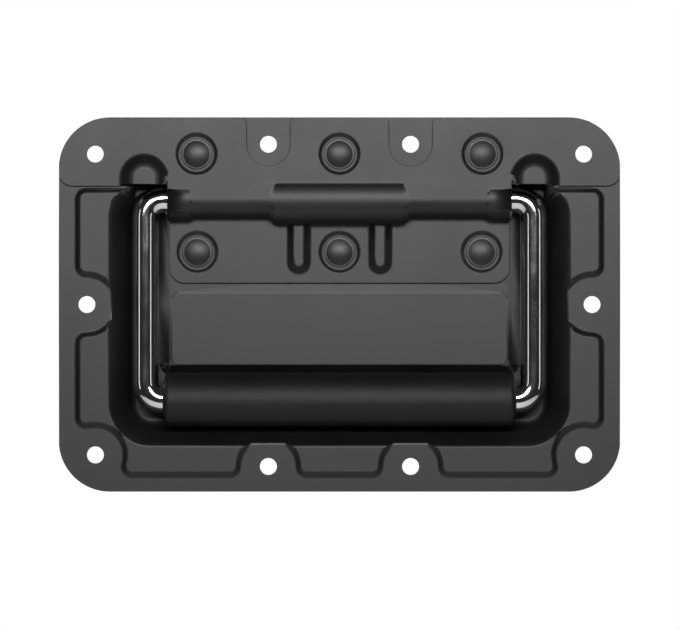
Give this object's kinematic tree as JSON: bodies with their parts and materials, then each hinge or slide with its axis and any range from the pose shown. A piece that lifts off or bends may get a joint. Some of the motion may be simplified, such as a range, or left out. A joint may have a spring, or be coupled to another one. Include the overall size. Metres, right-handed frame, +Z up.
{
  "type": "recessed pull handle",
  "caption": "Recessed flight-case pull handle: a pressed steel dish with a riveted cover plate that carries a sprung, rubber-gripped bar folding flat into the dish.",
  "frame": {"origin": "centre of the corner screw pattern on the mounting plane, which is the back of the dish's flange", "axes": "+X to the right as the user faces the handle, +Z up, front faces -Y, dish sinks towards +Y"},
  "size_m": [0.165, 0.0185, 0.11],
  "materials": {
    "dish_coat": "satin black powder coat, fine texture",
    "plate_coat": "satin black powder coat, fine texture",
    "rivet_coat": "satin black powder coat, fine texture",
    "bar_chrome": "bright plated, polished",
    "grip_rubber": "matt, fine grain",
    "spring_steel": "oiled spring steel"
  },
  "bodies": {
    "housing": {"dish": "dish_coat", "cover_plate": "plate_coat", "spring_left": "spring_steel", "spring_right": "spring_steel", "rivet_upper_left": "rivet_coat", "rivet_upper_middle": "rivet_coat", "rivet_upper_right": "rivet_coat", "rivet_lower_left": "rivet_coat", "rivet_lower_middle": "rivet_coat", "rivet_lower_right": "rivet_coat"},
    "handle": {"handle_bar": "bar_chrome", "grip": "grip_rubber"}
  },
  "joints": [
    {"name": "handle_swing", "type": "hinge", "parent": "housing", "child": "handle", "pos_m": [0, 0.0031, 0.031], "axis": [-1, 0, 0], "range_deg": [0, 90], "stiffness_Nm_per_rad": 0.35, "springref_deg": -34.38, "deforming": ["spring_left", "spring_right"]}
  ]
}
